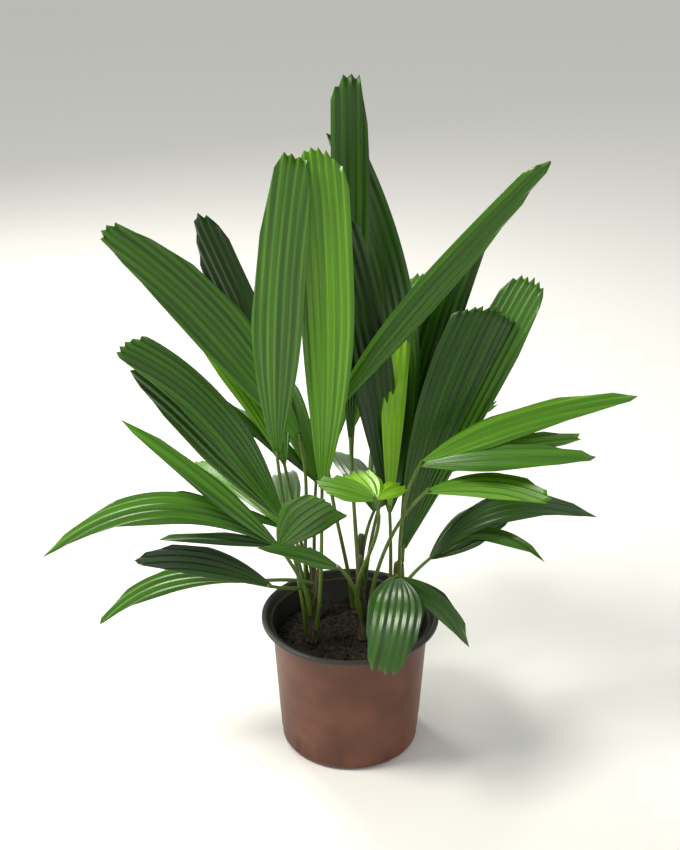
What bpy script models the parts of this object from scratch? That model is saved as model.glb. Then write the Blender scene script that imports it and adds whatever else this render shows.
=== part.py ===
"""Potted licuala palm.

A clump of five short stems in a round nursery pot. Each leaf is one petiole that ends in a knot,
where its long segments spread. All sizes are in metres and all angles in degrees, with +Z up.
The origin is on the pot's axis, in the plane of its flat underside. The front of the plant is -Y.
"""
import math
from collections import namedtuple

import bmesh
import bpy
from mathutils import Matrix, Vector
from mathutils.bvhtree import BVHTree

GAP = 0.0003

POT_HEIGHT = 0.167
POT_TURNS = 36
RIM_RADIUS = 0.105
RIM_THICK = 0.004
RIM_WIDTH = 0.0065
WALL = 0.002
WALL_TOP_RADIUS = 0.0925
WALL_FOOT_RADIUS = 0.083
FOOT_ROUND = 0.009
SOIL_TOP = 0.135

STEM_SIDES = 8
PETIOLE_SIDES = 6
PETIOLE_STATIONS = 7
PETIOLE_FOOT = 0.0026
PETIOLE_TIP = 0.0019
KNOT_SINK = 0.007
PETIOLE_PULL = 0.3

# The search for a seat on the stem: how many places, how far apart round it and how far up.
SEAT_PLACES = 180
SEATS_ROUND = 20
SEAT_TURN = 15
SEAT_LOWEST = 0.10
SEAT_RISE = 0.10
SEAT_LIFT = 0.09
SEAT_SPAN = 0.82

SEGMENT_ROWS = 5
SEGMENT_COLUMNS = 2
SEGMENT_FOOT = 0.09
THICK_SHARE = 0.010
THICK_EXTRA = 0.0005
FACE_CUP = 0.08
TIP_ROUND = 0.06
CLEAR = 0.0010

# A segment that would touch another leaf swings forward or back along this line until it is free.
SWING_LINE = Vector((0.0, 0.910, -0.414))
SWING_STEP = 0.008
SWING_STEPS = 16

Stem = namedtuple("Stem", "name foot tip radius")
Leaf = namedtuple("Leaf", "name stem knot segments")
Segment = namedtuple("Segment", "length width heading rise roll arch sweep fullest point")

STEMS = (
    Stem("stem_left", (-0.045, -0.010), (-0.036, -0.012, 0.235), 0.0050),
    Stem("stem_middle", (0.016, -0.006), (0.012, -0.008, 0.250), 0.0046),
    Stem("stem_right", (0.052, 0.014), (0.056, 0.012, 0.230), 0.0056),
    Stem("stem_back", (0.010, 0.052), (0.014, 0.062, 0.240), 0.0048),
    Stem("stem_back_left", (-0.040, 0.044), (-0.048, 0.054, 0.225), 0.0048),
)

# Leaves that face the front, each with the segments of its fan.
FRONT_LEAVES = (
    Leaf("leaf_drooping", "stem_right", (0.053, -0.040, 0.241), (
        Segment(0.120, 0.064, -100, -29, -10, 0.23, 0.07, 0.50, 0.50),
        Segment(0.115, 0.028, -14, -43, 40, 0.15, -0.07, 0.50, 0.15))),
    Leaf("leaf_front_left", "stem_left", (-0.082, -0.020, 0.383), (
        Segment(0.345, 0.056, -43, 85, 125, 0.03, 0.00, 0.50, 0.55),)),
    Leaf("leaf_front", "stem_left", (-0.032, -0.030, 0.349), (
        Segment(0.385, 0.064, -111, 88, 200, 0.03, 0.00, 0.60, 0.60),)),
    Leaf("leaf_tall", "stem_middle", (0.000, 0.060, 0.366), (
        Segment(0.420, 0.044, 91, 89, 5, 0.03, 0.00, 0.75, 0.65),)),
    Leaf("leaf_middle", "stem_right", (0.045, 0.000, 0.303), (
        Segment(0.445, 0.060, 158, 80, -55, 0.00, -0.12, 0.50, 0.40),
        Segment(0.360, 0.050, -163, 79, 260, 0.06, -0.12, 0.50, 0.50),
        Segment(0.340, 0.056, 48, 67, 50, -0.08, 0.08, 0.60, 0.30),
        Segment(0.265, 0.032, 84, 68, 5, 0.05, 0.00, 0.75, 0.70))),
    Leaf("leaf_right_high", "stem_back", (-0.026, 0.030, 0.407), (
        Segment(0.375, 0.040, -2, 51, 115, 0.02, 0.00, 0.50, 0.25),)),
    Leaf("leaf_right_low", "stem_right", (0.075, -0.040, 0.382), (
        Segment(0.248, 0.040, 5, 17, 30, 0.06, 0.00, 0.40, 0.15),
        Segment(0.180, 0.030, 6, 8, 25, 0.03, 0.00, 0.50, 0.30),
        Segment(0.190, 0.042, -9, 7, 20, 0.06, -0.05, 0.50, 0.15))),
    Leaf("leaf_right_broad", "stem_right", (0.062, 0.010, 0.250), (
        Segment(0.310, 0.105, 11, 70, 88, 0.03, 0.00, 0.85, 0.90),
        Segment(0.345, 0.064, 37, 58, 20, 0.03, 0.00, 0.80, 0.80))),
    Leaf("leaf_right_front", "stem_middle", (0.080, -0.070, 0.364), (
        Segment(0.135, 0.046, -13, 3, 15, 0.05, 0.12, 0.60, 0.30),)),
    Leaf("leaf_right_back", "stem_right", (0.096, 0.040, 0.219), (
        Segment(0.200, 0.040, -3, 18, 30, 0.25, -0.07, 0.50, 0.10),
        Segment(0.145, 0.020, -25, 11, 30, 0.20, 0.12, 0.50, 0.10),
        Segment(0.130, 0.050, 20, 26, 30, 0.05, 0.00, 0.50, 0.30))),
    Leaf("leaf_left_high", "stem_back_left", (-0.058, 0.050, 0.370), (
        Segment(0.330, 0.066, -177, 51, -70, 0.03, -0.12, 0.50, 0.35),
        Segment(0.285, 0.056, 166, 65, -85, -0.06, -0.12, 0.50, 0.20))),
    Leaf("leaf_left_mid", "stem_left", (-0.078, 0.010, 0.289), (
        Segment(0.285, 0.056, -166, 53, -45, 0.07, -0.12, 0.40, 0.60),
        Segment(0.245, 0.056, 173, 48, -75, -0.02, -0.12, 0.50, 0.50))),
    Leaf("leaf_left_front", "stem_left", (-0.080, -0.050, 0.285), (
        Segment(0.225, 0.026, 170, 39, -40, 0.07, 0.08, 0.50, 0.15),
        Segment(0.260, 0.042, -173, 1, -30, 0.19, -0.07, 0.45, 0.10),
        Segment(0.145, 0.018, 168, -3, -30, 0.05, 0.00, 0.50, 0.20),
        Segment(0.110, 0.056, -41, 47, 120, 0.05, 0.00, 0.65, 0.80))),
    Leaf("leaf_left_low", "stem_left", (-0.088, -0.060, 0.239), (
        Segment(0.155, 0.042, -176, 15, -25, 0.04, -0.12, 0.55, 0.25),)),
    Leaf("leaf_left_lowest", "stem_left", (-0.128, -0.020, 0.222), (
        Segment(0.170, 0.032, -170, -14, -30, 0.11, -0.12, 0.50, 0.10),)),
    Leaf("leaf_low_front", "stem_middle", (-0.012, -0.070, 0.269), (
        Segment(0.115, 0.024, -150, 28, -35, 0.05, 0.00, 0.40, 0.10),)),
    Leaf("leaf_bright_front", "stem_middle", (0.027, -0.080, 0.360), (
        Segment(0.068, 0.040, 163, 10, -10, 0.05, 0.00, 0.50, 0.20),
        Segment(0.066, 0.044, 113, 2, -5, 0.05, 0.00, 0.60, 0.60),
        Segment(0.050, 0.030, 55, -4, 5, 0.05, 0.00, 0.60, 0.50))),
)

# Leaves that fill the back: stem, heading, distance of the knot from the axis, its height,
# rise of the fan and length of its middle segment.
BACK_LEAVES = (
    ("stem_back", 62, 0.100, 0.300, 30, 0.200),
    ("stem_back", 88, 0.110, 0.360, 48, 0.260),
    ("stem_back", 76, 0.125, 0.240, 6, 0.210),
    ("stem_back_left", 112, 0.110, 0.290, 22, 0.240),
    ("stem_back_left", 138, 0.105, 0.330, 40, 0.220),
    ("stem_back_left", 128, 0.125, 0.225, 4, 0.190),
)
BACK_SPREAD = (-31, 2, 29)
BACK_LIFT = (-4, 3, -7)
BACK_ROLL = (-12, 4, 15)
BACK_SHARE = (0.82, 1.0, 0.86)
BACK_WIDTH = 0.050


def back_leaf(number, stem, heading, out, height, rise, length):
    """A leaf of the hidden side: three even segments round its heading."""
    turn = math.radians(heading)
    knot = (out * math.cos(turn), out * math.sin(turn), height)
    segments = tuple(
        Segment(length * share, BACK_WIDTH, heading + spread, rise + lift, roll, 0.10, 0.0, 0.60, 0.45)
        for spread, lift, roll, share in zip(BACK_SPREAD, BACK_LIFT, BACK_ROLL, BACK_SHARE))
    return Leaf(f"leaf_back_{number}", stem, knot, segments)


LEAVES = FRONT_LEAVES + tuple(back_leaf(n + 1, *row) for n, row in enumerate(BACK_LEAVES))


def finish_material(name, colour, roughness):
    material = bpy.data.materials.new(name)
    material.use_nodes = True
    shader = material.node_tree.nodes["Principled BSDF"]
    shader.inputs["Base Color"].default_value = (*colour, 1.0)
    shader.inputs["Roughness"].default_value = roughness
    return material


def add_object(name, mesh, material):
    """Close the bmesh into a named object with its faces pointing out."""
    bmesh.ops.recalc_face_normals(mesh, faces=mesh.faces[:])
    data = bpy.data.meshes.new(name)
    mesh.to_mesh(data)
    mesh.free()
    data.materials.append(material)
    piece = bpy.data.objects.new(name, data)
    bpy.context.scene.collection.objects.link(piece)
    return piece


def turned(name, profile, material):
    """Spin an outline of (radius, height) points round the Z axis into a closed solid."""
    mesh = bmesh.new()
    points = [mesh.verts.new((radius, 0.0, height)) for radius, height in profile]
    edges = [mesh.edges.new(pair) for pair in zip(points, points[1:])]
    bmesh.ops.spin(mesh, geom=points + edges, axis=(0, 0, 1), cent=(0, 0, 0),
                   angle=math.tau, steps=POT_TURNS, use_merge=True)
    bmesh.ops.remove_doubles(mesh, verts=mesh.verts[:], dist=0.00001)
    return add_object(name, mesh, material)


def make_pot(material):
    """A thermoformed pot: flat underside, rounded foot, straight taper and a flat rim."""
    top, under_rim = POT_HEIGHT, POT_HEIGHT - RIM_THICK
    profile = (
        (0.0, 0.0),
        (WALL_FOOT_RADIUS - FOOT_ROUND, 0.0),
        (WALL_FOOT_RADIUS - FOOT_ROUND * 0.3, FOOT_ROUND * 0.3),
        (WALL_FOOT_RADIUS, FOOT_ROUND),
        (WALL_TOP_RADIUS, under_rim - 0.002),
        (RIM_RADIUS, under_rim),
        (RIM_RADIUS, top),
        (RIM_RADIUS - RIM_WIDTH, top),
        (WALL_TOP_RADIUS - WALL, under_rim - 0.006),
        (WALL_FOOT_RADIUS - WALL, FOOT_ROUND + WALL),
        (WALL_FOOT_RADIUS - FOOT_ROUND, WALL),
        (0.0, WALL),
    )
    return turned("pot", profile, material)


def make_soil(material):
    """Soil that fills the pot, clear of its wall and floor."""
    low = FOOT_ROUND + WALL
    high = POT_HEIGHT - RIM_THICK - 0.006
    share = (SOIL_TOP - low) / (high - low)
    top_radius = WALL_FOOT_RADIUS - WALL + share * (WALL_TOP_RADIUS - WALL_FOOT_RADIUS)
    profile = (
        (0.0, WALL + GAP),
        (WALL_FOOT_RADIUS - FOOT_ROUND - GAP, WALL + GAP),
        (WALL_FOOT_RADIUS - WALL - 1.5 * GAP, low + GAP),
        (top_radius - 1.5 * GAP, SOIL_TOP),
        (0.0, SOIL_TOP),
    )
    return turned("soil", profile, material)


def limb_mesh(path, radii, sides):
    """A tapering limb: a round face carried along the path, so that both ends are closed."""
    mesh = bmesh.new()
    steps = [after - before for before, after in zip(path, path[1:])]
    steps.append(steps[-1])
    frames = [Matrix.Translation(point) @ step.to_track_quat("Z", "Y").to_matrix().to_4x4()
              for point, step in zip(path, steps)]
    bmesh.ops.create_circle(mesh, cap_ends=True, segments=sides, radius=radii[0], matrix=frames[0])
    face = mesh.faces[:][0]
    for number in range(1, len(path)):
        grown = bmesh.ops.extrude_face_region(mesh, geom=[face])["geom"]
        if number > 1:
            bmesh.ops.delete(mesh, geom=[face], context="FACES_ONLY")
        corners = [part for part in grown if isinstance(part, bmesh.types.BMVert)]
        face = next(part for part in grown if isinstance(part, bmesh.types.BMFace))
        widen = Matrix.Scale(radii[number] / radii[number - 1], 4)
        carry = frames[number] @ widen @ frames[number - 1].inverted()
        bmesh.ops.transform(mesh, matrix=carry, verts=corners)
    bmesh.ops.recalc_face_normals(mesh, faces=mesh.faces[:])
    return mesh


def stem_line(stem, share):
    foot = Vector((*stem.foot, SOIL_TOP + GAP))
    return foot.lerp(Vector(stem.tip), share)


def stem_radius(stem, share):
    """The stem's taper, with a root flare at its foot."""
    flare = 0.45 * max(0.0, 1.0 - share / 0.15)
    return stem.radius * (1.0 + flare - 0.25 * share)


def stem_mesh(stem):
    shares = (0.0, 0.07, 0.15, 0.5, 0.93, 1.0)
    path = [stem_line(stem, share) for share in shares]
    # The foot is a level cut, so the first length of the stem stands upright.
    path[1].xy = path[0].xy
    radii = [stem_radius(stem, share) for share in shares[:-1]]
    radii.append(radii[-1] * 0.6)
    return limb_mesh(path, radii, STEM_SIDES)


def bearings(chord, roll):
    """Directions of a segment: along, level across, up, and its side and face after the roll."""
    along = chord.normalized()
    level = Vector((-along.y, along.x, 0.0)).normalized()
    up = along.cross(level)
    turn = math.radians(roll)
    side = level * math.cos(turn) + up * math.sin(turn)
    return along, level, up, side, along.cross(side)


def chord_of(segment):
    heading, rise = math.radians(segment.heading), math.radians(segment.rise)
    return segment.length * Vector((math.cos(heading) * math.cos(rise),
                                    math.sin(heading) * math.cos(rise), math.sin(rise)))


def width_share(segment, along):
    """Share of the full width: a narrow foot, widest at 'fullest', then in to 'point' at the tip."""
    if along < segment.fullest:
        return SEGMENT_FOOT + (1 - SEGMENT_FOOT) * math.sin(0.5 * math.pi * along / segment.fullest) ** 0.9
    return 1 - (1 - segment.point) * ((along - segment.fullest) / (1 - segment.fullest)) ** 2


def segment_mesh(knot, segment, chord, spare=0.0):
    """A thin blade: a grid bent to the segment's line and width, then given its thickness."""
    along, level, up, side, face = bearings(chord, segment.roll)
    length = chord.length
    thick = THICK_SHARE * length + THICK_EXTRA + spare
    mesh = bmesh.new()
    bmesh.ops.create_grid(mesh, x_segments=SEGMENT_COLUMNS, y_segments=SEGMENT_ROWS, size=0.5)
    for corner in mesh.verts:
        across, share = 2 * corner.co.x, corner.co.y + 0.5
        share *= 1 - TIP_ROUND * across * across
        half = 0.5 * segment.width * width_share(segment, share) + 0.5 * spare
        bend = 4 * share * (1 - share) * length
        middle = knot + along * length * share + up * segment.arch * bend + level * segment.sweep * bend
        corner.co = middle + side * half * across - face * (FACE_CUP * half * across * across + 0.5 * thick)
    grown = bmesh.ops.extrude_face_region(mesh, geom=mesh.faces[:])["geom"]
    corners = [part for part in grown if isinstance(part, bmesh.types.BMVert)]
    bmesh.ops.translate(mesh, vec=face * thick, verts=corners)
    bmesh.ops.recalc_face_normals(mesh, faces=mesh.faces[:])
    return mesh


def petiole_path(leaf, stem, turn, share):
    """The petiole's line: up along the stem, then in one bend out to the knot."""
    knot = Vector(leaf.knot)
    out = Vector((math.cos(turn), math.sin(turn), 0.0))
    start = stem_line(stem, share) + out * (stem_radius(stem, share) + PETIOLE_FOOT + 0.6 * GAP)
    reach = (knot - start).length
    rise = (stem_line(stem, 1.0) - stem_line(stem, 0.0)).normalized()
    aim = ((knot - start).normalized() + chord_of(leaf.segments[0]).normalized() * 0.5).normalized()
    pull = PETIOLE_PULL * reach
    bends = (start, start + (rise + 0.12 * out) * pull, knot - aim * pull, knot + aim * KNOT_SINK)
    line = []
    for number in range(PETIOLE_STATIONS):
        t = number / (PETIOLE_STATIONS - 1)
        weights = ((1 - t) ** 3, 3 * t * (1 - t) ** 2, 3 * t * t * (1 - t), t ** 3)
        line.append(sum((weight * bend for weight, bend in zip(weights, bends)), Vector()))
    return line


def petiole_mesh(path, spare=0.0):
    last = len(path) - 1
    radii = [PETIOLE_FOOT + (PETIOLE_TIP - PETIOLE_FOOT) * n / last + spare for n in range(last + 1)]
    return limb_mesh(path, radii, PETIOLE_SIDES)


def tree_of(mesh):
    tree = BVHTree.FromBMesh(mesh)
    mesh.free()
    return tree


def is_free(tree, placed, own):
    return not any(tree.overlap(other) for name, other in placed if name != own)


def place_petioles(placed):
    """Seat each petiole on its stem, at the first place round it that no other one takes."""
    stems = {stem.name: stem for stem in STEMS}
    seats = {}
    lines = {}
    for leaf in LEAVES:
        stem = stems[leaf.stem]
        order = seats.get(stem.name, 0)
        seats[stem.name] = order + 1
        offset = Vector(leaf.knot).xy - stem_line(stem, 0.5).xy
        toward = math.atan2(offset.y, offset.x)
        for attempt in range(SEAT_PLACES):
            side_step = ((attempt % SEATS_ROUND + 1) // 2) * (-1) ** attempt
            turn = toward + math.radians(SEAT_TURN) * side_step
            lift = SEAT_RISE * order + SEAT_LIFT * (attempt // SEATS_ROUND)
            share = SEAT_LOWEST + lift % SEAT_SPAN
            line = petiole_path(leaf, stem, turn, share)
            if is_free(tree_of(petiole_mesh(line, 0.3 * GAP)), placed, None):
                break
        else:
            print("no seat for", leaf.name)
        lines[leaf.name] = line
        placed.append((leaf.name, tree_of(petiole_mesh(line, GAP))))
    return lines


def place_segments(placed):
    """Swing each segment along SWING_LINE until it is free of every other leaf."""
    chords = {}
    for leaf in LEAVES:
        knot = Vector(leaf.knot)
        chords[leaf.name] = []
        for segment in leaf.segments:
            for attempt in range(2 * SWING_STEPS):
                swing = SWING_STEP * ((attempt + 1) // 2) * (-1) ** attempt
                chord = chord_of(segment) + SWING_LINE * swing
                tree = tree_of(segment_mesh(knot, segment, chord, CLEAR))
                if is_free(tree, placed, leaf.name):
                    chords[leaf.name].append((segment, chord))
                    placed.append((leaf.name, tree))
                    break
            else:
                print("no room for a segment of", leaf.name, segment.heading)
    return chords


def fuse(body, parts):
    """Join the parts to the body by one union."""
    group = bpy.data.collections.new(body.name + "_parts")
    bpy.context.scene.collection.children.link(group)
    for part in parts:
        bpy.context.scene.collection.objects.unlink(part)
        group.objects.link(part)
    union = body.modifiers.new("union", "BOOLEAN")
    union.operation = "UNION"
    union.operand_type = "COLLECTION"
    union.collection = group
    union.solver = "MANIFOLD"
    graph = bpy.context.evaluated_depsgraph_get()
    joined = bpy.data.meshes.new_from_object(body.evaluated_get(graph))
    body.modifiers.remove(union)
    body.data = joined
    for part in parts:
        bpy.data.objects.remove(part)
    bpy.data.collections.remove(group)


def make_leaf(leaf, line, chords, material):
    body = add_object(leaf.name, petiole_mesh(line), material)
    parts = []
    for segment, chord in chords:
        mesh = segment_mesh(Vector(leaf.knot), segment, chord)
        parts.append(add_object(leaf.name + "_segment", mesh, material))
    fuse(body, parts)


def main():
    for old in list(bpy.data.objects):
        bpy.data.objects.remove(old)
    pot_plastic = finish_material("thermoformed polypropylene", (0.092, 0.029, 0.014), 0.45)
    soil_mix = finish_material("potting soil", (0.010, 0.009, 0.007), 0.95)
    stem_fibre = finish_material("stem fibre", (0.055, 0.050, 0.022), 0.75)
    leaf_blade = finish_material("palm leaf", (0.035, 0.110, 0.008), 0.35)
    pot = make_pot(pot_plastic)
    soil = make_soil(soil_mix)
    placed = [("pot", BVHTree.FromObject(pot, bpy.context.evaluated_depsgraph_get())),
              ("soil", BVHTree.FromObject(soil, bpy.context.evaluated_depsgraph_get()))]
    for stem in STEMS:
        add_object(stem.name, stem_mesh(stem), stem_fibre)
        placed.append((stem.name, tree_of(stem_mesh(stem))))
    lines = place_petioles(placed)
    chords = place_segments(placed)
    for leaf in LEAVES:
        make_leaf(leaf, lines[leaf.name], chords[leaf.name], leaf_blade)


main()
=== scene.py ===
"""Looks of the potted licuala palm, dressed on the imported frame.

Every length is in metres, every angle in degrees, +Z is up and the front of the plant is -Y. The
table of stems, leaves and segments is the one that the part's source has. Each leaf's pleated blades
and petiole stand for its node, and the pot, soil and stems get finer pieces in the same places.
"""
import math
import random
from collections import namedtuple

import bmesh
import bpy
from mathutils import Matrix, Vector, noise
from mathutils.bvhtree import BVHTree


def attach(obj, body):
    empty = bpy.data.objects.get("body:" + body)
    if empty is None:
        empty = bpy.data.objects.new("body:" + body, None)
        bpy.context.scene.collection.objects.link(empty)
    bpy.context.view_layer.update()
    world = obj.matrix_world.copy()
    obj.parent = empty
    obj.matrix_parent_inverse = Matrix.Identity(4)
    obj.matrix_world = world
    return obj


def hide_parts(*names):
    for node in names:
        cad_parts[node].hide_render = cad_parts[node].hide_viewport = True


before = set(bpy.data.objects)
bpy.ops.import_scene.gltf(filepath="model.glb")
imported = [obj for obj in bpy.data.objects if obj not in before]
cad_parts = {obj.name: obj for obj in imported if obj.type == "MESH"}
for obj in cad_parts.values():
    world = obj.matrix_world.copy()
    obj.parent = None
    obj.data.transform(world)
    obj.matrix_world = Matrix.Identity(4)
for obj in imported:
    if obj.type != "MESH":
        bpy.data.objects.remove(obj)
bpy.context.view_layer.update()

# Clearance between neighbouring solids.
GAP = 0.0003

POT_HEIGHT = 0.167
RIM_RADIUS = 0.105
RIM_THICK = 0.004
RIM_WIDTH = 0.0065
WALL = 0.002
WALL_TOP_RADIUS = 0.0925
WALL_FOOT_RADIUS = 0.083
FOOT_ROUND = 0.009
SOIL_TOP = 0.135

# The coarse stems and petioles, which the search for free places reads.
STEM_SIDES = 8
PETIOLE_SIDES = 6
PETIOLE_STATIONS = 7
PETIOLE_FOOT = 0.0026
PETIOLE_TIP = 0.0019
KNOT_SINK = 0.007
PETIOLE_PULL = 0.3

# The search for a seat on the stem: how many places, how far apart round it and how far up.
SEAT_PLACES = 180
SEATS_ROUND = 20
SEAT_TURN = 15
SEAT_LOWEST = 0.10
SEAT_RISE = 0.10
SEAT_LIFT = 0.09
SEAT_SPAN = 0.82

# The coarse segments, which the same search reads.
SEGMENT_ROWS = 5
SEGMENT_COLUMNS = 2
SEGMENT_FOOT = 0.09
THICK_SHARE = 0.010
THICK_EXTRA = 0.0005
FACE_CUP = 0.08
TIP_ROUND = 0.06
CLEAR = 0.0010

# A segment that would touch another leaf swings forward or back along this line until it is free.
SWING_LINE = Vector((0.0, 0.910, -0.414))
SWING_STEP = 0.008
SWING_STEPS = 16

Stem = namedtuple("Stem", "name foot tip radius")
Leaf = namedtuple("Leaf", "name stem knot segments")
Segment = namedtuple("Segment", "length width heading rise roll arch sweep fullest point")

STEMS = (
    Stem("stem_left", (-0.045, -0.010), (-0.036, -0.012, 0.235), 0.0050),
    Stem("stem_middle", (0.016, -0.006), (0.012, -0.008, 0.250), 0.0046),
    Stem("stem_right", (0.052, 0.014), (0.056, 0.012, 0.230), 0.0056),
    Stem("stem_back", (0.010, 0.052), (0.014, 0.062, 0.240), 0.0048),
    Stem("stem_back_left", (-0.040, 0.044), (-0.048, 0.054, 0.225), 0.0048),
)

# Leaves that face the front, each with the segments of its fan.
FRONT_LEAVES = (
    Leaf("leaf_drooping", "stem_right", (0.053, -0.040, 0.241), (
        Segment(0.120, 0.064, -100, -29, -10, 0.23, 0.07, 0.50, 0.50),
        Segment(0.115, 0.028, -14, -43, 40, 0.15, -0.07, 0.50, 0.15))),
    Leaf("leaf_front_left", "stem_left", (-0.082, -0.020, 0.383), (
        Segment(0.345, 0.056, -43, 85, 125, 0.03, 0.00, 0.50, 0.55),)),
    Leaf("leaf_front", "stem_left", (-0.032, -0.030, 0.349), (
        Segment(0.385, 0.064, -111, 88, 200, 0.03, 0.00, 0.60, 0.60),)),
    Leaf("leaf_tall", "stem_middle", (0.000, 0.060, 0.366), (
        Segment(0.420, 0.044, 91, 89, 5, 0.03, 0.00, 0.75, 0.65),)),
    Leaf("leaf_middle", "stem_right", (0.045, 0.000, 0.303), (
        Segment(0.445, 0.060, 158, 80, -55, 0.00, -0.12, 0.50, 0.40),
        Segment(0.360, 0.050, -163, 79, 260, 0.06, -0.12, 0.50, 0.50),
        Segment(0.340, 0.056, 48, 67, 50, -0.08, 0.08, 0.60, 0.30),
        Segment(0.265, 0.032, 84, 68, 5, 0.05, 0.00, 0.75, 0.70))),
    Leaf("leaf_right_high", "stem_back", (-0.026, 0.030, 0.407), (
        Segment(0.375, 0.040, -2, 51, 115, 0.02, 0.00, 0.50, 0.25),)),
    Leaf("leaf_right_low", "stem_right", (0.075, -0.040, 0.382), (
        Segment(0.248, 0.040, 5, 17, 30, 0.06, 0.00, 0.40, 0.15),
        Segment(0.180, 0.030, 6, 8, 25, 0.03, 0.00, 0.50, 0.30),
        Segment(0.190, 0.042, -9, 7, 20, 0.06, -0.05, 0.50, 0.15))),
    Leaf("leaf_right_broad", "stem_right", (0.062, 0.010, 0.250), (
        Segment(0.310, 0.105, 11, 70, 88, 0.03, 0.00, 0.85, 0.90),
        Segment(0.345, 0.064, 37, 58, 20, 0.03, 0.00, 0.80, 0.80))),
    Leaf("leaf_right_front", "stem_middle", (0.080, -0.070, 0.364), (
        Segment(0.135, 0.046, -13, 3, 15, 0.05, 0.12, 0.60, 0.30),)),
    Leaf("leaf_right_back", "stem_right", (0.096, 0.040, 0.219), (
        Segment(0.200, 0.040, -3, 18, 30, 0.25, -0.07, 0.50, 0.10),
        Segment(0.145, 0.020, -25, 11, 30, 0.20, 0.12, 0.50, 0.10),
        Segment(0.130, 0.050, 20, 26, 30, 0.05, 0.00, 0.50, 0.30))),
    Leaf("leaf_left_high", "stem_back_left", (-0.058, 0.050, 0.370), (
        Segment(0.330, 0.066, -177, 51, -70, 0.03, -0.12, 0.50, 0.35),
        Segment(0.285, 0.056, 166, 65, -85, -0.06, -0.12, 0.50, 0.20))),
    Leaf("leaf_left_mid", "stem_left", (-0.078, 0.010, 0.289), (
        Segment(0.285, 0.056, -166, 53, -45, 0.07, -0.12, 0.40, 0.60),
        Segment(0.245, 0.056, 173, 48, -75, -0.02, -0.12, 0.50, 0.50))),
    Leaf("leaf_left_front", "stem_left", (-0.080, -0.050, 0.285), (
        Segment(0.225, 0.026, 170, 39, -40, 0.07, 0.08, 0.50, 0.15),
        Segment(0.260, 0.042, -173, 1, -30, 0.19, -0.07, 0.45, 0.10),
        Segment(0.145, 0.018, 168, -3, -30, 0.05, 0.00, 0.50, 0.20),
        Segment(0.110, 0.056, -41, 47, 120, 0.05, 0.00, 0.65, 0.80))),
    Leaf("leaf_left_low", "stem_left", (-0.088, -0.060, 0.239), (
        Segment(0.155, 0.042, -176, 15, -25, 0.04, -0.12, 0.55, 0.25),)),
    Leaf("leaf_left_lowest", "stem_left", (-0.128, -0.020, 0.222), (
        Segment(0.170, 0.032, -170, -14, -30, 0.11, -0.12, 0.50, 0.10),)),
    Leaf("leaf_low_front", "stem_middle", (-0.012, -0.070, 0.269), (
        Segment(0.115, 0.024, -150, 28, -35, 0.05, 0.00, 0.40, 0.10),)),
    Leaf("leaf_bright_front", "stem_middle", (0.027, -0.080, 0.360), (
        Segment(0.068, 0.040, 163, 10, -10, 0.05, 0.00, 0.50, 0.20),
        Segment(0.066, 0.044, 113, 2, -5, 0.05, 0.00, 0.60, 0.60),
        Segment(0.050, 0.030, 55, -4, 5, 0.05, 0.00, 0.60, 0.50))),
)

# Leaves that fill the back: stem, heading, distance of the knot from the axis, its height,
# rise of the fan and length of its middle segment.
BACK_LEAVES = (
    ("stem_back", 62, 0.100, 0.300, 30, 0.200),
    ("stem_back", 88, 0.110, 0.360, 48, 0.260),
    ("stem_back", 76, 0.125, 0.240, 6, 0.210),
    ("stem_back_left", 112, 0.110, 0.290, 22, 0.240),
    ("stem_back_left", 138, 0.105, 0.330, 40, 0.220),
    ("stem_back_left", 128, 0.125, 0.225, 4, 0.190),
)
BACK_SPREAD = (-31, 2, 29)
BACK_LIFT = (-4, 3, -7)
BACK_ROLL = (-12, 4, 15)
BACK_SHARE = (0.82, 1.0, 0.86)
BACK_WIDTH = 0.050


def back_leaf(number, stem, heading, out, height, rise, length):
    """A leaf of the hidden side: three even segments round its heading."""
    turn = math.radians(heading)
    knot = (out * math.cos(turn), out * math.sin(turn), height)
    segments = tuple(
        Segment(length * share, BACK_WIDTH, heading + spread, rise + lift, roll, 0.10, 0.0, 0.60, 0.45)
        for spread, lift, roll, share in zip(BACK_SPREAD, BACK_LIFT, BACK_ROLL, BACK_SHARE))
    return Leaf(f"leaf_back_{number}", stem, knot, segments)


LEAVES = FRONT_LEAVES + tuple(back_leaf(n + 1, *row) for n, row in enumerate(BACK_LEAVES))


def limb_mesh(path, radii, sides):
    """A tapering limb: a round face carried along the path, so that both ends are closed."""
    mesh = bmesh.new()
    steps = [after - before for before, after in zip(path, path[1:])]
    steps.append(steps[-1])
    frames = [Matrix.Translation(point) @ step.to_track_quat("Z", "Y").to_matrix().to_4x4()
              for point, step in zip(path, steps)]
    bmesh.ops.create_circle(mesh, cap_ends=True, segments=sides, radius=radii[0], matrix=frames[0])
    face = mesh.faces[:][0]
    for number in range(1, len(path)):
        grown = bmesh.ops.extrude_face_region(mesh, geom=[face])["geom"]
        if number > 1:
            bmesh.ops.delete(mesh, geom=[face], context="FACES_ONLY")
        corners = [part for part in grown if isinstance(part, bmesh.types.BMVert)]
        face = next(part for part in grown if isinstance(part, bmesh.types.BMFace))
        widen = Matrix.Scale(radii[number] / radii[number - 1], 4)
        carry = frames[number] @ widen @ frames[number - 1].inverted()
        bmesh.ops.transform(mesh, matrix=carry, verts=corners)
    bmesh.ops.recalc_face_normals(mesh, faces=mesh.faces[:])
    return mesh


def stem_line(stem, share):
    foot = Vector((*stem.foot, SOIL_TOP + GAP))
    return foot.lerp(Vector(stem.tip), share)


def stem_radius(stem, share):
    """The stem's taper, with a root flare at its foot."""
    flare = 0.45 * max(0.0, 1.0 - share / 0.15)
    return stem.radius * (1.0 + flare - 0.25 * share)


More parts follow.
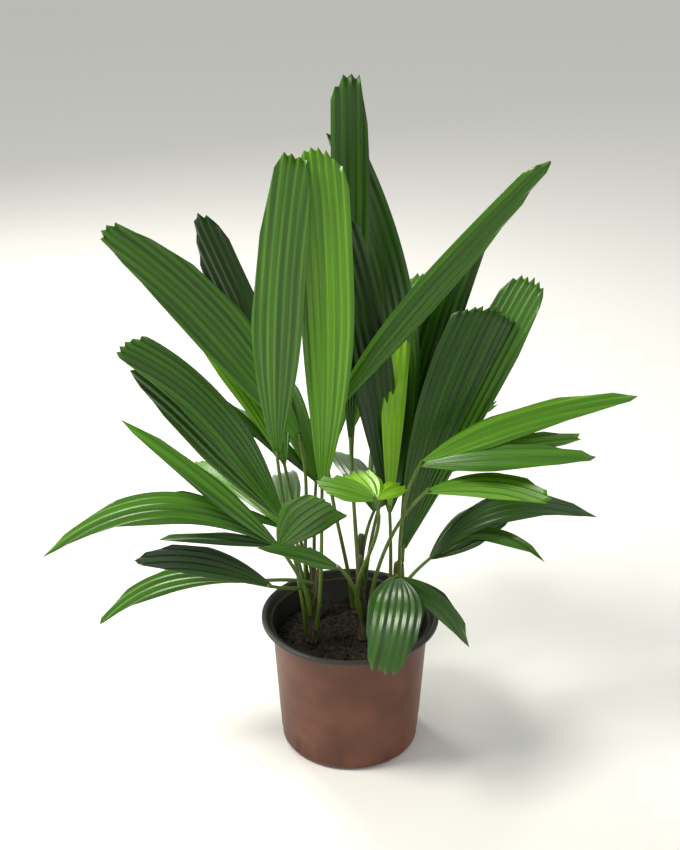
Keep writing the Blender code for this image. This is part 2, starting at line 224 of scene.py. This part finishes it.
def bearings(chord, roll):
    """Directions of a segment: along, level across, up, and its side and face after the roll."""
    along = chord.normalized()
    level = Vector((-along.y, along.x, 0.0)).normalized()
    up = along.cross(level)
    turn = math.radians(roll)
    side = level * math.cos(turn) + up * math.sin(turn)
    return along, level, up, side, along.cross(side)


def chord_of(segment):
    heading, rise = math.radians(segment.heading), math.radians(segment.rise)
    return segment.length * Vector((math.cos(heading) * math.cos(rise),
                                    math.sin(heading) * math.cos(rise), math.sin(rise)))


def width_share(segment, along):
    """Share of the full width: a narrow foot, widest at 'fullest', then in to 'point' at the tip."""
    if along < segment.fullest:
        return SEGMENT_FOOT + (1 - SEGMENT_FOOT) * math.sin(0.5 * math.pi * along / segment.fullest) ** 0.9
    return 1 - (1 - segment.point) * ((along - segment.fullest) / (1 - segment.fullest)) ** 2


def segment_mesh(knot, segment, chord, spare=0.0):
    """A thin blade: a grid bent to the segment's line and width, then given its thickness."""
    along, level, up, side, face = bearings(chord, segment.roll)
    length = chord.length
    thick = THICK_SHARE * length + THICK_EXTRA + spare
    mesh = bmesh.new()
    bmesh.ops.create_grid(mesh, x_segments=SEGMENT_COLUMNS, y_segments=SEGMENT_ROWS, size=0.5)
    for corner in mesh.verts:
        across, share = 2 * corner.co.x, corner.co.y + 0.5
        share *= 1 - TIP_ROUND * across * across
        half = 0.5 * segment.width * width_share(segment, share) + 0.5 * spare
        bend = 4 * share * (1 - share) * length
        middle = knot + along * length * share + up * segment.arch * bend + level * segment.sweep * bend
        corner.co = middle + side * half * across - face * (FACE_CUP * half * across * across + 0.5 * thick)
    grown = bmesh.ops.extrude_face_region(mesh, geom=mesh.faces[:])["geom"]
    corners = [part for part in grown if isinstance(part, bmesh.types.BMVert)]
    bmesh.ops.translate(mesh, vec=face * thick, verts=corners)
    bmesh.ops.recalc_face_normals(mesh, faces=mesh.faces[:])
    return mesh


def petiole_path(leaf, stem, turn, share):
    """The petiole's line: up along the stem, then in one bend out to the knot."""
    knot = Vector(leaf.knot)
    out = Vector((math.cos(turn), math.sin(turn), 0.0))
    start = stem_line(stem, share) + out * (stem_radius(stem, share) + PETIOLE_FOOT + 0.6 * GAP)
    reach = (knot - start).length
    rise = (stem_line(stem, 1.0) - stem_line(stem, 0.0)).normalized()
    aim = ((knot - start).normalized() + chord_of(leaf.segments[0]).normalized() * 0.5).normalized()
    pull = PETIOLE_PULL * reach
    bends = (start, start + (rise + 0.12 * out) * pull, knot - aim * pull, knot + aim * KNOT_SINK)
    line = []
    for number in range(PETIOLE_STATIONS):
        t = number / (PETIOLE_STATIONS - 1)
        weights = ((1 - t) ** 3, 3 * t * (1 - t) ** 2, 3 * t * t * (1 - t), t ** 3)
        line.append(sum((weight * bend for weight, bend in zip(weights, bends)), Vector()))
    return line


def petiole_mesh(path, spare=0.0):
    last = len(path) - 1
    radii = [PETIOLE_FOOT + (PETIOLE_TIP - PETIOLE_FOOT) * n / last + spare for n in range(last + 1)]
    return limb_mesh(path, radii, PETIOLE_SIDES)


def tree_of(mesh):
    tree = BVHTree.FromBMesh(mesh)
    mesh.free()
    return tree


def is_free(tree, placed, own):
    return not any(tree.overlap(other) for name, other in placed if name != own)


def place_petioles(placed):
    """Seat each petiole on its stem, at the first place round it that no other one takes."""
    stems = {stem.name: stem for stem in STEMS}
    seats = {}
    lines = {}
    for leaf in LEAVES:
        stem = stems[leaf.stem]
        order = seats.get(stem.name, 0)
        seats[stem.name] = order + 1
        offset = Vector(leaf.knot).xy - stem_line(stem, 0.5).xy
        toward = math.atan2(offset.y, offset.x)
        for attempt in range(SEAT_PLACES):
            side_step = ((attempt % SEATS_ROUND + 1) // 2) * (-1) ** attempt
            turn = toward + math.radians(SEAT_TURN) * side_step
            lift = SEAT_RISE * order + SEAT_LIFT * (attempt // SEATS_ROUND)
            share = SEAT_LOWEST + lift % SEAT_SPAN
            line = petiole_path(leaf, stem, turn, share)
            if is_free(tree_of(petiole_mesh(line, 0.3 * GAP)), placed, None):
                break
        else:
            print("no seat for", leaf.name)
        lines[leaf.name] = line
        placed.append((leaf.name, tree_of(petiole_mesh(line, GAP))))
    return lines


def place_segments(placed):
    """Swing each segment along SWING_LINE until it is free of every other leaf."""
    chords = {}
    for leaf in LEAVES:
        knot = Vector(leaf.knot)
        chords[leaf.name] = []
        for segment in leaf.segments:
            for attempt in range(2 * SWING_STEPS):
                swing = SWING_STEP * ((attempt + 1) // 2) * (-1) ** attempt
                chord = chord_of(segment) + SWING_LINE * swing
                tree = tree_of(segment_mesh(knot, segment, chord, CLEAR))
                if is_free(tree, placed, leaf.name):
                    chords[leaf.name].append((segment, chord))
                    placed.append((leaf.name, tree))
                    break
            else:
                print("no room for a segment of", leaf.name, segment.heading)
    return chords


# Tone of each segment, and how far its tip leans to the plant's right (+) or left (-). The tones are partly
# the leaves' own greens and partly painted light and painted shade: darker tones where a blade lies in
# shade, lighter ones where sun falls on it or shines through it.
LOOKS = {
    "leaf_drooping": (("shade", 0.0), ("shade", 0.0)),
    "leaf_front_left": (("mid", 0.1),),
    "leaf_front": (("pale_and_lit", 0.2),),
    "leaf_tall": (("shade", -0.5),),
    "leaf_middle": (("shade", 0.7), ("deep", 0.6), ("shade", 0.8), ("bright", 0.2)),
    "leaf_right_high": (("mid", -0.6),),
    "leaf_right_low": (("pale_and_lit", 0.0), ("pale_and_lit", 0.0), ("mid", 0.0)),
    "leaf_right_broad": (("shade", -0.1), ("mid", 0.0)),
    "leaf_right_front": (("pale_and_lit", 0.0),),
    "leaf_right_back": (("shade", 0.0), ("mid", 0.0), ("shade", 0.0)),
    "leaf_left_high": (("mid", 0.0), ("deep", 0.4)),
    "leaf_left_mid": (("mid", 0.3), ("shade", 0.2)),
    "leaf_left_front": (("mid", 0.0), ("mid", 0.0), ("shade", 0.0), ("mid", 0.2)),
    "leaf_left_low": (("deep", 0.0),),
    "leaf_left_lowest": (("mid", 0.0),),
    "leaf_low_front": (("mid", 0.0),),
    "leaf_bright_front": (("pale_and_lit", 0.0), ("bright", 0.0), ("bright", 0.0)),
}
BACK_LOOKS = (("mid", 0.3), ("pale_and_lit", 0.0), ("shade", -0.3))

# sRGB colours of the blade and of its lighter stripes, for each tone. Besides the leaf's own tone, the
# tones are lit and shaded copies of the leaf green, so they hold painted light and painted shade.
LIT_AND_SHADED_TONES = {
    "deep": ("#17300a", "#24460b"),
    "shade": ("#21430a", "#335f0c"),
    "mid": ("#2f5a0a", "#467a10"),
    "pale_and_lit": ("#427409", "#5f9412"),
    "bright": ("#679c08", "#84b414"),
}

# The fine blades: pitch of the folds, height of a fold as a share of its width, teeth at the tip.
PLEAT = 0.0085
PLEAT_RISE = 0.27
TOOTH = 0.0045
TOOTH_LEAST = 0.2
BLADE_THICK = 0.0006
BLADE_ROWS = 28
WAVE = 0.0022
WAVE_TURN = 5

# The fine petioles and stems.
FINE_SIDES = 10
FINE_STATIONS = 19
FIBRE_SIDES = 20
FIBRE_RINGS = 46
FIBRE_RIDGE = 0.0007
COLLAR_RISE = 0.0011
COLLAR_PITCH = 0.023
COLLAR_TURN = 0.006

# The fine pot: soft edges of its lip, and the shallow recesses round its foot.
POT_STEPS = 144
WALL_ROWS = 22
LIP_ROUND = 0.0008
LIP_SHOULDER = 0.002
LIP_FALL = 0.006
RECESSES = 9
RECESS_DEPTH = 0.0018
RECESS_TOP = 0.034
RECESS_FADE = 0.004
RECESS_HALF = 10.0
RECESS_EDGE = 1.6
RECESS_START = -50.0

# The loose top of the soil.
SOIL_STEPS = 96
SOIL_RINGS = 26
SOIL_SINK = 0.0015
CRUMBS = 240
CRUMB_LEAST = 0.0012
CRUMB_MOST = 0.0036

# The studio: name, place, aim, width, power and colour of each lamp, and the camera.
LAMPS = (
    ("window", (-1.2, -0.3, 1.9), (0.0, 0.0, 0.4), 0.7, 40, "#fffaf0"),
    ("rear window", (-0.9, 1.5, 1.7), (-0.05, 0.0, 0.5), 0.8, 34, "#fffdf6"),
    ("fill", (1.6, -1.6, 1.0), (0.0, 0.0, 0.35), 1.6, 6, "#f3f7ff"),
)
ROOM_STRENGTH = 0.62
FLOOR_HALF = 16.0
CAMERA_PLACE = (-0.012, -1.438, 1.066)
CAMERA_DIP = 24.45
CAMERA_LENS = 60.0
CAMERA_SENSOR = 36.0


def linear(code):
    """A linear RGBA colour from an sRGB hex code."""
    parts = [int(code[n:n + 2], 16) / 255 for n in (1, 3, 5)]
    return (*[p / 12.92 if p <= 0.04045 else ((p + 0.055) / 1.055) ** 2.4 for p in parts], 1.0)


def add_node(tree, kind, values=None, links=None, **settings):
    """One node with its settings, the values of its inputs and the sockets that feed them."""
    node = tree.nodes.new(kind)
    for key, value in settings.items():
        setattr(node, key, value)
    for socket, value in (values or {}).items():
        node.inputs[socket].default_value = value
    for socket, source in (links or {}).items():
        tree.links.new(source, node.inputs[socket])
    return node


def new_material(name, roughness, ior):
    material = bpy.data.materials.new(name)
    material.use_nodes = True
    tree = material.node_tree
    shader = tree.nodes["Principled BSDF"]
    shader.inputs["Roughness"].default_value = roughness
    shader.inputs["IOR"].default_value = ior
    return material, tree, shader


def two_tone(tree, shader, factor, low, high):
    """Mix the base colour from the low one to the high one by a factor."""
    mix = add_node(tree, "ShaderNodeMix", {6: linear(low), 7: linear(high)}, {0: factor},
                   data_type="RGBA")
    tree.links.new(mix.outputs[2], shader.inputs["Base Color"])


def add_bump(tree, shader, height, strength, distance):
    bump = add_node(tree, "ShaderNodeBump", {"Strength": strength, "Distance": distance},
                    {"Height": height})
    tree.links.new(bump.outputs["Normal"], shader.inputs["Normal"])


def leaf_material(tone):
    """Living palm leaf with a waxy skin.

    The eye gets long fine veins, lighter stripes along some pleats, which are painted sunlight shining
    through the blade, and a soft, broad gloss.
    """
    material, tree, shader = new_material(f"waxy palm leaf {tone}", 0.31, 1.48)
    place = add_node(tree, "ShaderNodeUVMap", uv_map="pleats")
    # Painted sunlight: lighter stripes about one pleat wide that run most of the blade's length, where
    # light shines through the pleats.
    wide = add_node(tree, "ShaderNodeMapping", {"Scale": (1 / 0.007, 1 / 0.35, 1.0)},
                    {"Vector": place.outputs["UV"]})
    painted_sunlight_stripe = add_node(tree, "ShaderNodeTexNoise", {"Scale": 1.0, "Detail": 1.0},
                      {"Vector": wide.outputs["Vector"]})
    # Veins are nearer 0.5 mm apart; they are drawn 1.6 mm apart so that they show.
    fine = add_node(tree, "ShaderNodeMapping", {"Scale": (1 / 0.0016, 1 / 0.09, 1.0)},
                    {"Vector": place.outputs["UV"]})
    vein = add_node(tree, "ShaderNodeTexNoise", {"Scale": 1.0, "Detail": 2.0},
                    {"Vector": fine.outputs["Vector"]})
    shares = add_node(tree, "ShaderNodeMath", {1: 0.45}, {0: vein.outputs["Fac"]},
                      operation="MULTIPLY")
    total = add_node(tree, "ShaderNodeMath", {}, {0: shares.outputs[0], 1: painted_sunlight_stripe.outputs["Fac"]},
                     operation="ADD")
    # The lighter colour goes to the veins, which are the leaf's own, and to the stripes, which are painted
    # sunlight.
    ramp = add_node(tree, "ShaderNodeMapRange", {"From Min": 0.55, "From Max": 0.92},
                    {"Value": total.outputs[0]})
    two_tone(tree, shader, ramp.outputs["Result"], *LIT_AND_SHADED_TONES[tone])
    add_bump(tree, shader, vein.outputs["Fac"], 0.35, 0.0006)
    return material


def petiole_material():
    """Smooth living petiole: green with a paler streak, satin."""
    material, tree, shader = new_material("palm petiole", 0.42, 1.45)
    place = add_node(tree, "ShaderNodeTexCoord")
    long = add_node(tree, "ShaderNodeMapping", {"Scale": (1 / 0.003, 1 / 0.003, 1 / 0.06)},
                    {"Vector": place.outputs["Object"]})
    streak = add_node(tree, "ShaderNodeTexNoise", {"Scale": 1.0, "Detail": 2.0},
                      {"Vector": long.outputs["Vector"]})
    two_tone(tree, shader, streak.outputs["Fac"], "#2c430f", "#66812c")
    add_bump(tree, shader, streak.outputs["Fac"], 0.3, 0.0004)
    return material


def fibre_material():
    """Palm stem in old leaf bases: dull grey-brown fibres that run up the stem."""
    material, tree, shader = new_material("fibrous palm stem", 0.85, 1.45)
    place = add_node(tree, "ShaderNodeTexCoord")
    long = add_node(tree, "ShaderNodeMapping", {"Scale": (1 / 0.0013, 1 / 0.0013, 1 / 0.02)},
                    {"Vector": place.outputs["Object"]})
    fibre = add_node(tree, "ShaderNodeTexNoise", {"Scale": 1.0, "Detail": 3.0},
                     {"Vector": long.outputs["Vector"]})
    ramp = add_node(tree, "ShaderNodeMapRange", {"From Min": 0.35, "From Max": 0.68},
                    {"Value": fibre.outputs["Fac"]})
    two_tone(tree, shader, ramp.outputs["Result"], "#232415", "#6a6444")
    add_bump(tree, shader, fibre.outputs["Fac"], 0.8, 0.0012)
    return material


def soil_material():
    """Moist potting mix: near-black peat with lighter crumbs a few millimetres wide."""
    material, tree, shader = new_material("moist potting mix", 0.95, 1.4)
    place = add_node(tree, "ShaderNodeTexCoord")
    crumb = add_node(tree, "ShaderNodeTexNoise", {"Scale": 1 / 0.004, "Detail": 6.0, "Roughness": 0.65},
                     {"Vector": place.outputs["Object"]})
    ramp = add_node(tree, "ShaderNodeMapRange", {"From Min": 0.45, "From Max": 0.75},
                    {"Value": crumb.outputs["Fac"]})
    two_tone(tree, shader, ramp.outputs["Result"], "#14110c", "#4a3a29")
    add_bump(tree, shader, crumb.outputs["Fac"], 0.9, 0.003)
    return material


def polypropylene(name, low, high, roughness):
    """Thermoformed polypropylene: satin, with faint clouds of dust and scuffs."""
    material, tree, shader = new_material(name, roughness, 1.49)
    place = add_node(tree, "ShaderNodeTexCoord")
    cloud = add_node(tree, "ShaderNodeTexNoise", {"Scale": 1 / 0.05, "Detail": 4.0},
                     {"Vector": place.outputs["Object"]})
    grain = add_node(tree, "ShaderNodeTexNoise", {"Scale": 1 / 0.0012, "Detail": 2.0},
                     {"Vector": place.outputs["Object"]})
    ramp = add_node(tree, "ShaderNodeMapRange", {"From Min": 0.4, "From Max": 0.7},
                    {"Value": cloud.outputs["Fac"]})
    two_tone(tree, shader, ramp.outputs["Result"], low, high)
    add_bump(tree, shader, grain.outputs["Fac"], 0.2, 0.0002)
    return material


def dress(name, mesh, materials, node):
    """Make the bmesh a piece that stands for a node and takes its finish from a slot."""
    data = bpy.data.meshes.new(name)
    mesh.to_mesh(data)
    mesh.free()
    for material in materials:
        data.materials.append(material)
    piece = bpy.data.objects.new(name, data)
    bpy.context.scene.collection.objects.link(piece)
    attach(piece, "root")
    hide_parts(node)


def turned_mesh(profile, steps):
    """Spin an outline of (radius, height) points round the Z axis."""
    mesh = bmesh.new()
    points = [mesh.verts.new((radius, 0.0, height)) for radius, height in profile]
    edges = [mesh.edges.new(pair) for pair in zip(points, points[1:])]
    bmesh.ops.spin(mesh, geom=points + edges, axis=(0, 0, 1), cent=(0, 0, 0),
                   angle=math.tau, steps=steps, use_merge=True)
    bmesh.ops.remove_doubles(mesh, verts=mesh.verts[:], dist=0.00001)
    bmesh.ops.recalc_face_normals(mesh, faces=mesh.faces[:])
    for face in mesh.faces:
        face.smooth = True
    return mesh


def arc(centre, radius, start, end, steps):
    """Points of (radius, height) on an arc, from one angle to another."""
    for number in range(steps + 1):
        turn = math.radians(start + (end - start) * number / steps)
        yield centre[0] + radius * math.cos(turn), centre[1] + radius * math.sin(turn)


def recess_share(turn, height):
    """How deep the foot's recesses are there, from 0 to 1: even panels round the foot."""
    pitch = 360.0 / RECESSES
    off = abs((math.degrees(turn) + 90.0 - RECESS_START) % pitch - RECESS_HALF)
    edge = min(1.0, max(0.0, (RECESS_HALF - off) / RECESS_EDGE))
    low = min(1.0, max(0.0, (height - RECESS_FADE) / RECESS_FADE))
    high = min(1.0, max(0.0, (RECESS_TOP - height) / RECESS_FADE))
    return edge * low * high


def make_pot(outer, inner):
    """The pot: rounded foot with shallow recesses, straight wall, and a flat lip with soft edges."""
    top, under = POT_HEIGHT, POT_HEIGHT - RIM_THICK
    wall_top = under - LIP_SHOULDER
    flat = WALL_FOOT_RADIUS - FOOT_ROUND
    profile = [(0.0, 0.0), (0.5 * flat, 0.0), (flat, 0.0)]
    profile += arc((flat, FOOT_ROUND), FOOT_ROUND, -80, 0, 8)
    for number in range(1, WALL_ROWS + 1):
        share = number / WALL_ROWS
        profile.append((WALL_FOOT_RADIUS + (WALL_TOP_RADIUS - WALL_FOOT_RADIUS) * share,
                        FOOT_ROUND + (wall_top - FOOT_ROUND) * share))
    profile += arc((RIM_RADIUS - LIP_ROUND, under + LIP_ROUND), LIP_ROUND, -80, 0, 3)
    profile += arc((RIM_RADIUS - LIP_ROUND, top - LIP_ROUND), LIP_ROUND, 0, 90, 4)
    profile += arc((RIM_RADIUS - RIM_WIDTH + LIP_SHOULDER, top - LIP_SHOULDER), LIP_SHOULDER, 90, 170, 4)
    profile += [(WALL_TOP_RADIUS - WALL, under - LIP_FALL), (WALL_FOOT_RADIUS - WALL, FOOT_ROUND + WALL),
                (flat, WALL), (0.0, WALL)]
    mesh = turned_mesh(profile, POT_STEPS)
    for corner in mesh.verts:
        radius, height = corner.co.xy.length, corner.co.z
        line = WALL_FOOT_RADIUS + (WALL_TOP_RADIUS - WALL_FOOT_RADIUS) * height / under
        if radius > line - 0.6 * WALL and height < RECESS_TOP:
            turn = math.atan2(corner.co.y, corner.co.x)
            corner.co.xy *= 1 - RECESS_DEPTH * recess_share(turn, height) / radius
    for face in mesh.faces:
        centre = face.calc_center_median()
        faces_out = face.normal.xy.dot(centre.xy) > 0 or centre.z < 0.5 * WALL
        face.material_index = 0 if faces_out and centre.z < wall_top else 1
    dress("nursery_pot", mesh, (outer, inner), "pot")


def make_soil(material):
    """The soil: a turned plug whose top is loosened by noise and strewn with crumbs."""
    low = FOOT_ROUND + WALL
    high = POT_HEIGHT - RIM_THICK - LIP_FALL
    share = (SOIL_TOP - low) / (high - low)
    top_radius = WALL_FOOT_RADIUS - WALL + share * (WALL_TOP_RADIUS - WALL_FOOT_RADIUS) - 2 * GAP
    level = SOIL_TOP - SOIL_SINK
    profile = [(0.0, WALL + GAP), (WALL_FOOT_RADIUS - FOOT_ROUND - GAP, WALL + GAP),
               (WALL_FOOT_RADIUS - WALL - 2 * GAP, low + GAP)]
    profile += [(top_radius * (1 - ring / SOIL_RINGS), level) for ring in range(SOIL_RINGS)]
    profile.append((0.0, level))
    mesh = turned_mesh(profile, SOIL_STEPS)
    for corner in mesh.verts:
        if corner.co.z > level - GAP and corner.co.xy.length < top_radius - GAP:
            # Heaps about 6 mm wide, with grit about 2 mm wide on them.
            corner.co.z += 0.003 * noise.noise(corner.co * 160) + 0.0015 * noise.noise(corner.co * 420)
    draw = random.Random(7)
    for _ in range(CRUMBS):
        turn, reach = draw.uniform(0, math.tau), top_radius * 0.96 * math.sqrt(draw.random())
        size = draw.uniform(CRUMB_LEAST, CRUMB_MOST)
        place = Matrix.Translation((reach * math.cos(turn), reach * math.sin(turn), SOIL_TOP - 0.001))
        flatten = Matrix.Diagonal((draw.uniform(0.7, 1.3), draw.uniform(0.7, 1.3),
                                   draw.uniform(0.4, 0.8), 1))
        bmesh.ops.create_icosphere(mesh, subdivisions=1, radius=size, matrix=place @ flatten)
    dress("soil_crumbs", mesh, (material,), "soil")


def make_stem(stem, material):
    """A stem wrapped in fibre: close rings, each ridged and roughened by noise."""
    shares = [0.97 * ring / (FIBRE_RINGS - 1) for ring in range(FIBRE_RINGS)] + [1.0]
    path = [stem_line(stem, share) for share in shares]
    radii = [stem_radius(stem, share) for share in shares[:-1]]
    radii.append(radii[-1] * 0.6)
    mesh = limb_mesh(path, radii, FIBRE_SIDES)
    foot = stem_line(stem, 0.0)
    rise = (stem_line(stem, 1.0) - foot).normalized()
    for corner in mesh.verts:
        out = corner.co - foot
        out -= rise * out.dot(rise)
        turn = math.atan2(out.y, out.x)
        height = corner.co.z
        ridge = 0.35 * math.sin(7 * turn + 9 * height) + noise.noise(Vector((turn, height * 60, 3.0)))
        # Old leaf bases end in low collars up the stem, each a little slanted.
        collar = 1 - ((height + COLLAR_TURN * turn) % COLLAR_PITCH) / COLLAR_PITCH
        corner.co += out.normalized() * (FIBRE_RIDGE * ridge + COLLAR_RISE * (collar - 0.5))
    for face in mesh.faces:
        face.smooth = True
    dress(stem.name + "_fibre", mesh, (material,), stem.name)


def column_end(segment, across, lean):
    """Share of the length at which a pleat line ends: the blade's outline beyond its widest place."""
    off = abs(across - lean) / (1 + abs(lean))
    reach = min(1.0, math.sqrt((1 - off) / (1 - segment.point)))
    return (segment.fullest + (1 - segment.fullest) * reach) * (1 - TIP_ROUND * across * across)


def pleated_blade(knot, segment, chord, lean, number):
    """A pleated blade: parallel folds that open from the knot and end in a toothed outline."""
    along, level, up, side, face = bearings(chord, segment.roll)
    length = chord.length
    pleats = max(2, round(segment.width / PLEAT))
    columns = 2 * pleats
    draw = random.Random(number)
    phase = draw.uniform(0, math.tau)
    # The blade's own side may point to the plant's left, and then the lean is turned over.
    if side.x + 0.3 * side.z < 0:
        lean = -lean
    ends = []
    for column in range(columns + 1):
        end = column_end(segment, 2 * column / columns - 1, lean)
        tooth = TOOTH * draw.uniform(TOOTH_LEAST, 1.0) * (1 if column % 2 else -1)
        ends.append(end + tooth / length)
    mesh = bmesh.new()
    bmesh.ops.create_grid(mesh, x_segments=columns, y_segments=BLADE_ROWS, size=0.5)
    places = mesh.loops.layers.uv.new("pleats")
    for part in mesh.faces:
        part.smooth = True
        for loop in part.loops:
            spot = loop.vert.co
            loop[places].uv = (spot.x * segment.width + number, (spot.y + 0.5) * length)
    # The edges that run up the blade are its folds, and they stay crisp.
    for fold in mesh.edges:
        low, high = fold.verts
        fold.smooth = abs(low.co.x - high.co.x) > 0.5 / columns
    for corner in mesh.verts:
        column = round((corner.co.x + 0.5) * columns)
        across, share = 2 * corner.co.x, (corner.co.y + 0.5) * ends[column]
        half = 0.5 * segment.width * width_share(segment, min(share, segment.fullest))
        bend = 4 * share * (1 - share) * length
        relief = PLEAT_RISE * half / pleats * (1 if column % 2 else -1)
        wave = WAVE * share * across * math.sin(WAVE_TURN * share + phase)
        cup = FACE_CUP * half * across * across
        middle = knot + along * length * share + up * segment.arch * bend + level * segment.sweep * bend
        corner.co = middle + side * half * across + face * (relief + wave - cup)
    grown = bmesh.ops.extrude_face_region(mesh, geom=mesh.faces[:])["geom"]
    corners = [part for part in grown if isinstance(part, bmesh.types.BMVert)]
    bmesh.ops.translate(mesh, vec=face * BLADE_THICK, verts=corners)
    bmesh.ops.recalc_face_normals(mesh, faces=mesh.faces[:])
    return mesh


def merge_in(body, mesh, material_index):
    """Add one closed mesh to the leaf's bmesh, with all its faces in one material."""
    for face in mesh.faces:
        face.material_index = material_index
    passing = bpy.data.meshes.new("passing")
    mesh.to_mesh(passing)
    mesh.free()
    body.from_mesh(passing)
    bpy.data.meshes.remove(passing)


def fine_petiole(line):
    """A round limb along a smooth curve through the stations of the petiole's line."""
    last = len(line) - 1
    path = []
    for number in range(FINE_STATIONS):
        place = last * number / (FINE_STATIONS - 1)
        step = min(int(place), last - 1)
        t = place - step
        before, start = line[max(step - 1, 0)], line[step]
        end, after = line[step + 1], line[min(step + 2, last)]
        slope = end - before
        bow = 2 * before - 5 * start + 4 * end - after
        twist = 3 * start - before - 3 * end + after
        path.append(0.5 * (2 * start + slope * t + bow * t * t + twist * t ** 3))
    stations = FINE_STATIONS - 1
    radii = [PETIOLE_FOOT + (PETIOLE_TIP - PETIOLE_FOOT) * n / stations for n in range(FINE_STATIONS)]
    mesh = limb_mesh(path, radii, FINE_SIDES)
    for face in mesh.faces:
        face.smooth = len(face.verts) == 4
    return mesh


def make_leaf(leaf, line, chords, looks, petiole, tones, first):
    """One leaf: its petiole and the pleated blades of its fan."""
    body = bmesh.new()
    body.loops.layers.uv.new("pleats")
    merge_in(body, fine_petiole(line), 0)
    names = list(tones)
    for number, (segment, chord) in enumerate(chords):
        tone, lean = looks[number]
        blade = pleated_blade(Vector(leaf.knot), segment, chord, lean, first + number)
        merge_in(body, blade, 1 + names.index(tone))
    dress(leaf.name + "_pleated", body, (petiole, *tones.values()), leaf.name)


def node_tree_of(name):
    """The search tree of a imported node's own mesh."""
    mesh = bmesh.new()
    mesh.from_mesh(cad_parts[name].data)
    return tree_of(mesh)


def coarse_stem(stem):
    """The stem as the part's source has it, which the petioles and segments keep clear of."""
    shares = (0.0, 0.07, 0.15, 0.5, 0.93, 1.0)
    path = [stem_line(stem, share) for share in shares]
    # The foot is a level cut, so the first length of the stem stands upright.
    path[1].xy = path[0].xy
    radii = [stem_radius(stem, share) for share in shares[:-1]]
    radii.append(radii[-1] * 0.6)
    return limb_mesh(path, radii, STEM_SIDES)


def make_plant():
    outer = polypropylene("terracotta polypropylene", "#562a15", "#6e3e26", 0.45)
    inner = polypropylene("black polypropylene", "#17170f", "#2b2a24", 0.42)
    fibre = fibre_material()
    petiole = petiole_material()
    tones = {tone: leaf_material(tone) for tone in LIT_AND_SHADED_TONES}
    make_pot(outer, inner)
    make_soil(soil_material())
    placed = [("pot", node_tree_of("pot")), ("soil", node_tree_of("soil"))]
    for stem in STEMS:
        make_stem(stem, fibre)
        placed.append((stem.name, tree_of(coarse_stem(stem))))
    lines = place_petioles(placed)
    chords = place_segments(placed)
    first = 1
    for leaf in LEAVES:
        looks = LOOKS.get(leaf.name, BACK_LOOKS)
        make_leaf(leaf, lines[leaf.name], chords[leaf.name], looks, petiole, tones, first)
        first += len(leaf.segments)


def area_light(name, place, aim, size, power, colour):
    lamp = bpy.data.lights.new(name, "AREA")
    lamp.shape = "DISK"
    lamp.size = size
    lamp.energy = power
    lamp.color = linear(colour)[:3]
    holder = bpy.data.objects.new(name, lamp)
    holder.location = place
    holder.rotation_euler = (Vector(aim) - Vector(place)).to_track_quat("-Z", "Y").to_euler()
    bpy.context.scene.collection.objects.link(holder)


def make_studio():
    """A pale floor, soft daylight from the upper left and the camera at the photograph's angle."""
    mesh = bmesh.new()
    bmesh.ops.create_grid(mesh, x_segments=1, y_segments=1, size=FLOOR_HALF)
    data = bpy.data.meshes.new("floor")
    mesh.to_mesh(data)
    mesh.free()
    floor = bpy.data.objects.new("floor", data)
    bpy.context.scene.collection.objects.link(floor)
    material, _, shader = new_material("matt pale paper", 0.9, 1.45)
    shader.inputs["Base Color"].default_value = linear("#efeeea")
    data.materials.append(material)
    world = bpy.data.worlds.new("pale room")
    world.use_nodes = True
    sky = world.node_tree.nodes["Background"]
    sky.inputs["Color"].default_value = linear("#f4f5f2")
    sky.inputs["Strength"].default_value = ROOM_STRENGTH
    bpy.context.scene.world = world
    for lamp in LAMPS:
        area_light(*lamp)
    lens = bpy.data.cameras.new("camera")
    lens.lens = CAMERA_LENS
    lens.sensor_width = CAMERA_SENSOR
    camera = bpy.data.objects.new("camera", lens)
    camera.location = CAMERA_PLACE
    camera.rotation_euler = (math.radians(90 - CAMERA_DIP), 0.0, 0.0)
    bpy.context.scene.collection.objects.link(camera)
    bpy.context.scene.camera = camera
    bpy.context.scene.view_settings.view_transform = "Standard"


make_plant()
make_studio()
bpy.context.view_layer.update()
